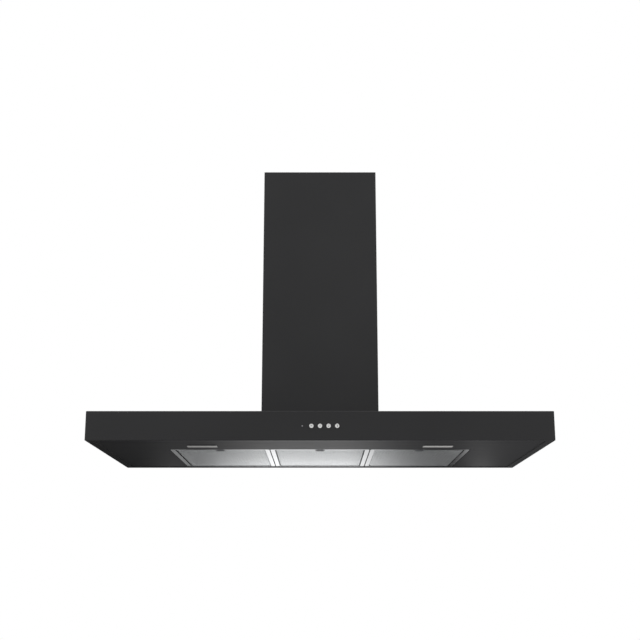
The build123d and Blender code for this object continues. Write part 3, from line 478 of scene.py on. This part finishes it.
def print_on_button(sign, x):
    """Lays the flat sign into the hollow of a button's dish and stands it up there."""
    only(sign)
    bpy.ops.object.mode_set(mode="EDIT")
    bpy.ops.mesh.select_all(action="SELECT")
    bpy.ops.mesh.remove_doubles(threshold=weld_distance * mm)
    bpy.ops.mesh.quads_convert_to_tris()
    bpy.ops.mesh.subdivide(number_cuts=1)
    bpy.ops.object.mode_set(mode="OBJECT")
    for vertex in sign.data.vertices:
        away = min(vertex.co.xy.length / (dish_radius * mm), 1)
        vertex.co.z = -dish_depth * mm * (1 - away) + print_lift * mm
    sign.data.transform(Matrix.Rotation(math.pi / 2, 4, "X"))
    sign.data.transform(Matrix.Translation((x, button_face, button_height)))


for i, name in enumerate(button_names):
    sign = number_sign(str(i), glyph_height * mm) if i else lamp_sign(glyph_height * mm)
    print_on_button(sign, (button_first + i * button_pitch) * mm)
    finished(sign, "print_" + name, ink, "button_" + name)

# ---- lamps ----
# Two low lamps in the panel: a white moulded tray, a board of chips, and a frosted cover of
# polycarbonate with a prismatic pattern that spreads the light. A grey border is printed
# inside the cover along its front and rear.

# The real prisms are too fine to show, so they are drawn 16 mm apart.
prism = 2.5
border_front = 5.0
border_rear = 7.5
lens_low, lens_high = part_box("lamp_lens_left")
frosted, tree, shader, place = material("frosted_polycarbonate", Roughness=0.4)
inputs = {"Vector": place, "Scale": per_metre(prism) / wave_turn}
prisms_x = add(tree, "TexWave", inputs, bands_direction="X").outputs["Fac"]
prisms_y = add(tree, "TexWave", inputs, bands_direction="Y").outputs["Fac"]
prisms = add(tree, "Math", {0: prisms_x, 1: prisms_y}, operation="MULTIPLY")
wear(tree, shader, prisms.outputs[0], rough=(0.35, 0.5), bump=(0.3, 0.1))
window = add(
    tree,
    "Math",
    {
        0: add(tree, "SeparateXYZ", {"Vector": place}).outputs["Y"],
        1: (lens_low.y + lens_high.y + (border_front - border_rear) * mm) / 2,
        2: (lens_high.y - lens_low.y - (border_front + border_rear) * mm) / 2,
    },
    operation="COMPARE",
)
tint(tree, shader, window.outputs[0], ("#38383a", "#979694"))
dress(frosted, "lamp_lens_left", "lamp_lens_right")
dress(white_moulding, "lamp_housing_left", "lamp_housing_right")

# ---- grease filters ----
# Three cassettes: a frame rolled from bright aluminium strip holds expanded aluminium mesh
# in layers, a coarse one on each face and crumpled fine foil between them.

sides = ["left", "centre", "right"]

# Rolled aluminium: bright and smooth, with faint streaks from side to side.
rolled_aluminium = grained(
    "rolled_aluminium",
    grain=0.8,
    rough=(0.2, 0.26),
    bump=(0.03, 0.01),
    stretch=20,
    Metallic=1.0,
    Base_Color=linear("#b8babc"),
    Roughness=0.23,
)
for side in sides:
    dress(rolled_aluminium, "filter_frame_" + side)

# Expanded aluminium: the strands are sheared, so they lie tilted and catch the light. Deep in
# the pack little light is left, and that shade is painted into its colour. The painted shade
# fades from dark to bright between these shares of the way from the pack's middle to its faces.
pack_shade_span = (0.15, 0.7)
shear_grain = 3.0
expanded_aluminium, tree, shader, place = material(
    "expanded_aluminium", Metallic=1.0, Roughness=0.35
)
shear = add(tree, "TexNoise", {"Vector": place, "Scale": per_metre(shear_grain)})
wear(tree, shader, shear.outputs["Fac"], rough=(0.28, 0.42), bump=(0.2, 0.1))
mesh_low, mesh_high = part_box("filter_mesh_centre")
pack_middle = (mesh_low.z + mesh_high.z) / 2
height = add(tree, "SeparateXYZ", {"Vector": place}).outputs["Z"]
below = add(
    tree,
    "MapRange",
    {"Value": height, "From Min": mesh_low.z, "From Max": pack_middle, "To Min": 1, "To Max": 0},
)
above = add(
    tree, "MapRange", {"Value": height, "From Min": pack_middle, "From Max": mesh_high.z}
)
outward = add(
    tree,
    "Math",
    {0: below.outputs["Result"], 1: above.outputs["Result"]},
    operation="MAXIMUM",
)
# Painted shade: the tone is darkest at the pack's middle and brightens towards its faces.
tint(tree, shader, outward.outputs[0], ("#505254", "#eceeef"), pack_shade_span)

# The mesh's diamonds are coarser than real ones, to keep the count of triangles down. The
# foil's folds are given in radians for each row or column of its grid.
mesh_long_way = 7.2
mesh_short_way = 3.6
strand_width = 1.0
strand_tilt = 0.15
strand_skin = 0.06
foil_rows = 100
foil_columns = 70
foil_crumple = 0.15
foil_skin = 0.05
fold_by_row = 2.1
fold_by_column = 1.7
fold_slant = 0.4
fold_wander = 0.9
latch_room = 0.3
frame_border = 9.0
groove_width = 3.5
groove_rise = 1.6
case_low, case_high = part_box("latch_case_centre")
notch_half = (case_high.x - case_low.x) / 2 + latch_room * mm
notch_rear = case_high.y + latch_room * mm


def pick(piece, room):
    """In edit mode, selects the faces that lie in the notch or this near it; counts them."""
    shape = bmesh.from_edit_mesh(piece.data)
    bpy.ops.mesh.select_mode(type="FACE")
    count = 0
    for face in shape.faces:
        middle = face.calc_center_median()
        face.select_set(abs(middle.x) < notch_half + room and middle.y < notch_rear + room)
        count += face.select
    bmesh.update_edit_mesh(piece.data)
    return count


def cut_for_latch(piece):
    """Cuts the latch's notch out of a flat layer, with straight edges."""
    only(piece)
    bpy.ops.object.mode_set(mode="EDIT")
    for point, normal in (
        ((-notch_half, 0, 0), (1, 0, 0)),
        ((notch_half, 0, 0), (1, 0, 0)),
        ((0, notch_rear, 0), (0, 1, 0)),
    ):
        pick(piece, room=2 * mesh_long_way * mm)
        bpy.ops.mesh.bisect(plane_co=point, plane_no=normal)
    if pick(piece, room=0):
        bpy.ops.mesh.delete(type="FACE")
    bpy.ops.object.mode_set(mode="OBJECT")


def trim_edges(piece):
    """Cuts a flat layer to the inside of the frame."""
    only(piece)
    bpy.ops.object.mode_set(mode="EDIT")
    for point, normal in (
        (mesh_low, (-1, 0, 0)),
        (mesh_high, (1, 0, 0)),
        (mesh_low, (0, -1, 0)),
        (mesh_high, (0, 1, 0)),
    ):
        bpy.ops.mesh.select_all(action="SELECT")
        bpy.ops.mesh.bisect(plane_co=point, plane_no=normal, clear_outer=True)
    bpy.ops.object.mode_set(mode="OBJECT")


def press_sides(piece):
    """Lifts a layer beside the frame's lips, where the pack is pressed thin to enter them."""
    frame_low, frame_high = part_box("filter_frame_centre")
    lips = (frame_low.x + frame_border * mm, frame_high.x - frame_border * mm)
    top = mesh_high.z - strand_skin * mm
    only(piece)
    bpy.ops.object.mode_set(mode="EDIT")
    for lip, inward in zip(lips, (1, -1)):
        for x in (lip, lip + inward * groove_width * mm):
            bpy.ops.mesh.select_all(action="SELECT")
            bpy.ops.mesh.bisect(plane_co=(x, 0, 0), plane_no=(1, 0, 0))
    bpy.ops.object.mode_set(mode="OBJECT")
    for vertex in piece.data.vertices:
        inside = min(vertex.co.x - lips[0], lips[1] - vertex.co.x) / (groove_width * mm)
        press = 1 - min(max(inside, 0), 1)
        risen = vertex.co.z + groove_rise * mm * press
        vertex.co.z = max(vertex.co.z, min(risen, top))


def apply_modifier(piece, kind, **settings):
    """Adds a modifier with its settings and applies it."""
    only(piece)
    made = piece.modifiers.new(kind.lower(), kind)
    for name, value in settings.items():
        setattr(made, name, value)
    bpy.ops.object.modifier_apply(modifier=made.name)


def strand_layer(height):
    """One sheet of diamonds: a zigzag strand and its mirror image, repeated over the depth."""
    half_cell = mesh_long_way * mm / 2
    steps = math.ceil((mesh_high.x - mesh_low.x) / half_cell)
    steps += steps % 2
    row = mesh_short_way * mm
    swing = row / 4
    middle = (mesh_low.x + mesh_high.x) / 2
    first = middle - steps * half_cell / 2
    start = mesh_low.y + swing
    bpy.ops.object.select_all(action="DESELECT")
    bpy.ops.mesh.primitive_grid_add(x_subdivisions=steps, y_subdivisions=1, size=1)
    strand = bpy.context.object
    strand.data.transform(Matrix.Diagonal((steps * half_cell, strand_width * mm, 1, 1)))
    strand.data.transform(Matrix.Translation((middle, start, height)))
    only(strand)
    bpy.ops.object.mode_set(mode="EDIT")
    bpy.ops.mesh.select_mode(type="VERT")
    for parity, way in ((0, 1), (1, -1)):
        shape = bmesh.from_edit_mesh(strand.data)
        for vertex in shape.verts:
            column = round((vertex.co.x - first) / half_cell)
            vertex.select_set(column % 2 == parity)
        shape.select_flush(True)
        bmesh.update_edit_mesh(strand.data)
        bpy.ops.transform.translate(value=(0, way * (swing - strand_width * mm / 4), 0))
    bpy.ops.object.mode_set(mode="OBJECT")
    for vertex in strand.data.vertices:
        on_front = (vertex.index // (steps + 1)) % 2 == 0
        vertex.co.z += strand_tilt * mm * (0.5 if on_front else -0.5)
    bpy.ops.object.duplicate()
    mirrored = bpy.context.object
    flip = Matrix.Translation((0, 2 * (start + swing), 0)) @ Matrix.Diagonal((1, -1, 1, 1))
    mirrored.data.transform(flip)
    mirrored.data.flip_normals()
    pair = join([strand, mirrored], "strands")
    apply_modifier(
        pair,
        "ARRAY",
        count=math.ceil((mesh_high.y - mesh_low.y) / row),
        use_relative_offset=False,
        use_constant_offset=True,
        constant_offset_displace=(0, row, 0),
    )
    return pair


def foil_layer(height):
    """The crumpled foil between the two sheets of diamonds."""
    bpy.ops.object.select_all(action="DESELECT")
    bpy.ops.mesh.primitive_grid_add(
        x_subdivisions=foil_columns, y_subdivisions=foil_rows, size=1
    )
    foil = bpy.context.object
    size = mesh_high - mesh_low
    foil.data.transform(Matrix.Diagonal((size.x, size.y, 1, 1)))
    middle = (mesh_low + mesh_high) / 2
    foil.data.transform(Matrix.Translation((middle.x, middle.y, height)))
    for vertex in foil.data.vertices:
        row, column = divmod(vertex.index, foil_columns + 1)
        fold = math.sin(row * fold_by_row + math.sin(column * fold_wander))
        fold *= math.cos(column * fold_by_column + row * fold_slant)
        vertex.co.z += foil_crumple * mm * fold
    return foil


def mesh_pack():
    """The whole pack for the middle filter: strands, foil and strands again."""
    skin = strand_skin * mm
    reach = strand_tilt * mm / 2 + skin / 2
    sheets = [strand_layer(mesh_low.z + reach), strand_layer(mesh_high.z - reach)]
    sheets[1].data.transform(Matrix.Translation((mesh_long_way * mm / 4, 0, 0)))
    foil = foil_layer(pack_middle)
    for layer in (*sheets, foil):
        trim_edges(layer)
        press_sides(layer)
        cut_for_latch(layer)
    for sheet in sheets:
        apply_modifier(sheet, "SOLIDIFY", thickness=skin, offset=0)
    apply_modifier(foil, "SOLIDIFY", thickness=foil_skin * mm, offset=0)
    return join([*sheets, foil], "mesh_pack")


packs = {"centre": mesh_pack()}
for side in ("left", "right"):
    only(packs["centre"])
    bpy.ops.object.duplicate()
    packs[side] = bpy.context.object
    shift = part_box("filter_mesh_" + side)[0].x - mesh_low.x
    packs[side].data.transform(Matrix.Translation((shift, 0, 0)))
for side, piece in packs.items():
    finished(
        piece, "mesh_pack_" + side, expanded_aluminium, "filter_" + side
    )
    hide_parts("filter_mesh_" + side)

# ---- filter latches ----
# A sprung slider in a small open case at each filter's front edge, moved back by a
# fingertip. Both are moulded in grey acetal, which is smoother than the other plastics.

acetal = grained(
    "grey_acetal",
    grain=0.8,
    rough=(0.3, 0.45),
    bump=(0.15, 0.03),
    tones=("#46474a", "#525356"),
    drift=12,
    Roughness=0.35,
)
for side in sides:
    dress(acetal, "latch_case_" + side, "latch_slider_" + side)

# ---- chimney covers ----
# Two folded covers of the same coated sheet. The upper one stands inside the lower one and
# slides up to the ceiling with the bracket that holds it to the wall.

dress(satin_paint, "lower_chimney", "upper_chimney")

# ---- screws ----
# Zinc-plated steel screws with hexagon heads hold the box, the casing, the motor's arms and
# the collar. The plating is bright with a slight blue haze.

zinc_plate = grained(
    "zinc_plated_steel",
    grain=1.5,
    rough=(0.24, 0.4),
    bump=(0.1, 0.02),
    tones=("#b9bdc0", "#d2d4d2"),
    Metallic=1.0,
    Roughness=0.3,
)
dress(zinc_plate, "canopy_screws", "casing_screws", "motor_screws", "collar_screws")

# ---- studio ----
# A plain pale floor far under the hood, which fades into a white surround. A soft light
# stands on each side of the hood and one hangs above it, with a faint one below its right.

white = (1, 1, 1, 1)
world_fill = 0.45
floor_z = -2.4
floor_side = 24.0
floor_white_near = 0.8
floor_fade_from = 2.0
floor_fade_to = 9.0

# The camera and every gloss see the surround white, but it lights the hood less than that.
world = bpy.data.worlds.new("studio")
bpy.context.scene.world = world
world.use_nodes = True
tree = world.node_tree
tree.nodes.clear()
path = add(tree, "LightPath").outputs
seen = add(
    tree,
    "Math",
    {0: path["Is Camera Ray"], 1: path["Is Transmission Ray"]},
    operation="MAXIMUM",
)
seen = add(tree, "Math", {0: seen.outputs[0], 1: path["Is Glossy Ray"]}, operation="MAXIMUM")
fill = add(tree, "Background", {"Color": white, "Strength": world_fill})
surround = add(tree, "Background", {"Color": white, "Strength": 1.0})
both = add(tree, "MixShader", {0: seen.outputs[0], 1: fill.outputs[0], 2: surround.outputs[0]})
add(tree, "OutputWorld", {"Surface": both.outputs[0]})

# A matt pale floor, which glows whiter the farther away it is, where the camera or a gloss
# sees it.
pale_floor, tree, shader, place = material(
    "pale_floor", Base_Color=linear("#e6e6e6"), Roughness=0.8
)
path = add(tree, "LightPath").outputs
seen = add(
    tree, "Math", {0: path["Is Camera Ray"], 1: path["Is Glossy Ray"]}, operation="MAXIMUM"
)
flat = add(tree, "Mapping", {"Vector": place, "Scale": (1, 1, 0)}).outputs["Vector"]
away = add(tree, "VectorMath", {0: flat}, operation="LENGTH").outputs["Value"]
white_part = add(
    tree,
    "MapRange",
    {
        "Value": away,
        "From Min": floor_fade_from,
        "From Max": floor_fade_to,
        "To Min": floor_white_near,
    },
)
lift = add(
    tree, "Math", {0: seen.outputs[0], 1: white_part.outputs["Result"]}, operation="MULTIPLY"
)
glow = add(tree, "Emission", {"Color": white, "Strength": 1.0})
both = add(tree, "MixShader", {0: lift.outputs[0], 1: shader.outputs[0], 2: glow.outputs[0]})
tree.links.new(both.outputs[0], tree.nodes["Material Output"].inputs["Surface"])

bpy.ops.object.select_all(action="DESELECT")
bpy.ops.mesh.primitive_plane_add(size=floor_side, location=(0, 0, floor_z))
floor = bpy.context.object
floor.name = "floor"
floor.data.materials.append(pale_floor)


def soft_light(name, place, aim, side, power):
    """A square soft light that faces a point, with its side in metres and its power in W."""
    bpy.ops.object.select_all(action="DESELECT")
    bpy.ops.object.light_add(type="AREA", location=place)
    made = bpy.context.object
    made.name = name
    made.data.size = side
    made.data.energy = power
    made.rotation_euler = (Vector(aim) - Vector(place)).to_track_quat("-Z", "Y").to_euler()
    made.visible_camera = False
    return made


hood_middle = (0, -0.2, 0)
soft_light("left_light", (-2.6, -2.6, 1.5), hood_middle, side=2.0, power=60)
soft_light("right_light", (2.6, -2.6, 1.5), hood_middle, side=2.0, power=45)
soft_light("top_light", (0, -0.4, 2.6), hood_middle, side=2.5, power=25)

# The low light brightens the dull panel, but no gloss shows it.
low_light = soft_light(
    "low_light", (0.34, -0.35, -0.9), (0.3, -0.35, -0.25), side=0.3, power=4
)
low_light.visible_glossy = False

# A grey card hangs behind the hood, below its lower edge. Only gloss shows it: it keeps
# the white surround out of the underside, and its pale middle is what gleams there. Its
# tones are given at places along X in metres. A spline joins them and lowers each peak.
# The card is brightest along its top and dims downwards.
card_y = 0.03
card_top = -0.252
card_low = -0.95
card_half = 0.9
card_dim_from = -0.45
card_dim = 0.45
card_peak = 1.6
card_tones = [
    (-0.45, 0.03),
    (-0.40, 0.05),
    (-0.345, 0.28),
    (-0.29, 0.08),
    (-0.24, 0.28),
    (-0.13, 0.95),
    (0.0, 1.45),
    (0.13, 0.55),
    (0.21, 0.10),
    (0.29, 0.02),
    (0.335, 0.05),
    (0.38, 0.55),
    (0.42, 0.10),
    (0.50, 0.10),
]

reflection_card, tree, shader, place = material("grey_card")
tree.nodes.remove(shader)
axes = add(tree, "SeparateXYZ", {"Vector": place})
across = add(
    tree,
    "MapRange",
    {"Value": axes.outputs["X"], "From Min": -card_half, "From Max": card_half},
)
tones = add(tree, "ValToRGB", {"Fac": across.outputs["Result"]})
tones.color_ramp.interpolation = "B_SPLINE"
stops = tones.color_ramp.elements
while len(stops) < len(card_tones):
    stops.new(1.0)
for stop, (x, tone) in zip(stops, card_tones):
    stop.position = (x + card_half) / (2 * card_half)
    stop.color = (tone, tone, tone, 1)
fade = add(
    tree,
    "MapRange",
    {
        "Value": axes.outputs["Z"],
        "From Min": card_dim_from,
        "From Max": card_top,
        "To Min": card_dim * card_peak,
        "To Max": card_peak,
    },
)
strength = add(
    tree,
    "Math",
    {0: tones.outputs["Color"], 1: fade.outputs["Result"]},
    operation="MULTIPLY",
)
pale = add(tree, "Emission", {"Strength": strength.outputs[0]})
tree.links.new(pale.outputs[0], tree.nodes["Material Output"].inputs["Surface"])

bpy.ops.object.select_all(action="DESELECT")
bpy.ops.mesh.primitive_plane_add(size=1)
card = bpy.context.object
card.name = "reflection_card"
card.data.transform(Matrix.Diagonal((2 * card_half, card_top - card_low, 1, 1)))
card.data.transform(Matrix.Rotation(math.pi / 2, 4, "X"))
card.data.transform(Matrix.Translation((0, card_y, (card_top + card_low) / 2)))
card.data.materials.append(reflection_card)
card.visible_camera = False
card.visible_diffuse = False
card.visible_transmission = False
card.visible_shadow = False
